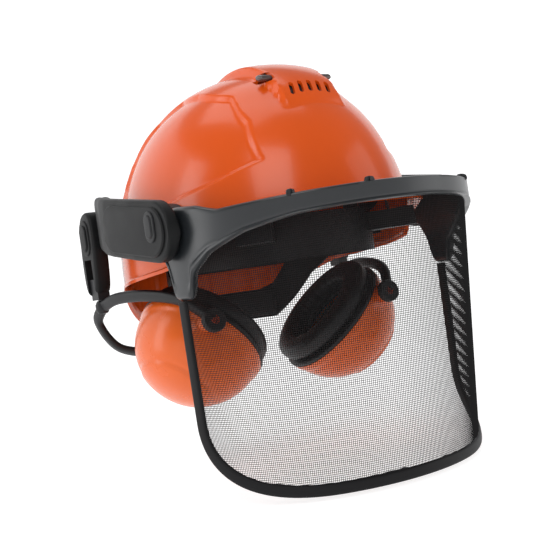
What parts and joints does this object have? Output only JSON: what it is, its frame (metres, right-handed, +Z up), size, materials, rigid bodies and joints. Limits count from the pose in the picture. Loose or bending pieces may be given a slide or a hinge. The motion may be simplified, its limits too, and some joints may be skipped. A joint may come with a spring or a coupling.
{
  "type": "forestry helmet",
  "caption": "Safety helmet with a hinged wire-mesh face screen, sprung ear cups on swing arms and a ratchet headband.",
  "frame": {"origin": "middle of the head opening, at the headband's lower edge plane less 6 mm", "axes": "+Z up as worn, -Y the wearer's front, -X the wearer's right"},
  "size_m": [0.2728, 0.3266, 0.312],
  "materials": {
    "shell_orange": "gloss moulded ABS",
    "cup_orange": "gloss moulded ABS",
    "black_plastic": "fine moulded",
    "brow_plastic": "satin moulded",
    "grey_gloss": "gloss moulded",
    "band_plastic": "moulded",
    "webbing": "woven polyester",
    "sweat_foam": "brushed knit over foam",
    "wire_mesh": "black-coated woven wire",
    "edge_rubber": "moulded edging",
    "arm_rubber": "soft-touch",
    "steel": "plain",
    "pin_orange": "moulded",
    "cushion_skin": "smooth vinyl",
    "foam": "open-cell foam"
  },
  "bodies": {
    "helmet": {"shell": "shell_orange", "crown_straps": "webbing", "strap_anchor_front_right": "band_plastic", "strap_anchor_front_left": "band_plastic", "strap_anchor_mid_right": "band_plastic", "strap_anchor_mid_left": "band_plastic", "strap_anchor_rear_right": "band_plastic", "strap_anchor_rear_left": "band_plastic", "headband": "band_plastic", "sweatband": "sweat_foam", "nape_band": "band_plastic", "nape_pad": "sweat_foam", "ratchet_housing": "band_plastic", "ratchet_cover": "band_plastic", "visor_pin_right": "steel", "slot_adapter_right": "black_plastic", "carrier_arm_right": "arm_rubber", "arm_cover_right": "arm_rubber", "arm_button_right": "arm_rubber", "visor_pin_left": "steel", "slot_adapter_left": "black_plastic", "carrier_arm_left": "arm_rubber", "arm_cover_left": "arm_rubber", "arm_button_left": "arm_rubber"},
    "vent": {"vent_slider": "grey_gloss"},
    "ratchet": {"ratchet_knob": "black_plastic", "ratchet_pinion": "band_plastic"},
    "visor": {"visor_brow": "brow_plastic", "visor_mesh": "wire_mesh", "visor_trim": "edge_rubber", "visor_clip_a": "black_plastic", "visor_clip_b": "black_plastic", "visor_clip_c": "black_plastic"},
    "link_right": {"swing_link_right": "arm_rubber", "link_button_right": "arm_rubber"},
    "block_right": {"spring_block_right": "black_plastic"},
    "yoke_right": {"yoke_right": "black_plastic", "cup_pin_front_right": "pin_orange", "cup_pin_rear_right": "pin_orange"},
    "cup_right": {"cup_shell_right": "cup_orange", "cup_plate_right": "black_plastic", "cup_cushion_right": "cushion_skin", "cup_foam_right": "foam"},
    "link_left": {"swing_link_left": "arm_rubber", "link_button_left": "arm_rubber"},
    "block_left": {"spring_block_left": "black_plastic"},
    "yoke_left": {"yoke_left": "black_plastic", "cup_pin_front_left": "pin_orange", "cup_pin_rear_left": "pin_orange"},
    "cup_left": {"cup_shell_left": "cup_orange", "cup_plate_left": "black_plastic", "cup_cushion_left": "cushion_skin", "cup_foam_left": "foam"}
  },
  "joints": [
    {"name": "visor_tilt", "type": "hinge", "parent": "helmet", "child": "visor", "pos_m": [0, -0.032, 0.038], "axis": [-1, 0, 0], "range_deg": [0, 60]},
    {"name": "vent_slide", "type": "slide", "parent": "helmet", "child": "vent", "axis": [0, 0.84, 0.5426], "range_m": [0, 0.0035]},
    {"name": "ratchet_turn", "type": "hinge", "parent": "helmet", "child": "ratchet", "pos_m": [0, 0.115, -0.027], "axis": [0, 1, 0], "range_deg": [-150, 150]},
    {"name": "swing_right", "type": "hinge", "parent": "helmet", "child": "link_right", "pos_m": [-0.1195, 0.066, 0.052], "axis": [1, 0, 0], "range_deg": [-3, 12]},
    {"name": "spread_right", "type": "hinge", "parent": "link_right", "child": "block_right", "pos_m": [-0.119, 0.073, 0.006], "axis": [0, 1, 0], "range_deg": [0, 18], "stiffness_Nm_per_rad": 0.6, "springref_deg": -45.84},
    {"name": "height_right", "type": "slide", "parent": "block_right", "child": "yoke_right", "axis": [0, 0, 1], "range_m": [-0.008, 0]},
    {"name": "cup_tilt_right", "type": "hinge", "parent": "yoke_right", "child": "cup_right", "pos_m": [-0.08097, 0.01708, -0.04145], "axis": [0, 0.9816, -0.1908], "range_deg": [-8, 8]},
    {"name": "swing_left", "type": "hinge", "parent": "helmet", "child": "link_left", "pos_m": [0.1195, 0.066, 0.052], "axis": [1, 0, 0], "range_deg": [-3, 12]},
    {"name": "spread_left", "type": "hinge", "parent": "link_left", "child": "block_left", "pos_m": [0.119, 0.073, 0.006], "axis": [0, -1, 0], "range_deg": [0, 18], "stiffness_Nm_per_rad": 0.6, "springref_deg": -45.84},
    {"name": "height_left", "type": "slide", "parent": "block_left", "child": "yoke_left", "axis": [0, 0, 1], "range_m": [-0.008, 0]},
    {"name": "cup_tilt_left", "type": "hinge", "parent": "yoke_left", "child": "cup_left", "pos_m": [0.08097, 0.01708, -0.04145], "axis": [0, 0.9816, -0.1908], "range_deg": [-8, 8]}
  ]
}
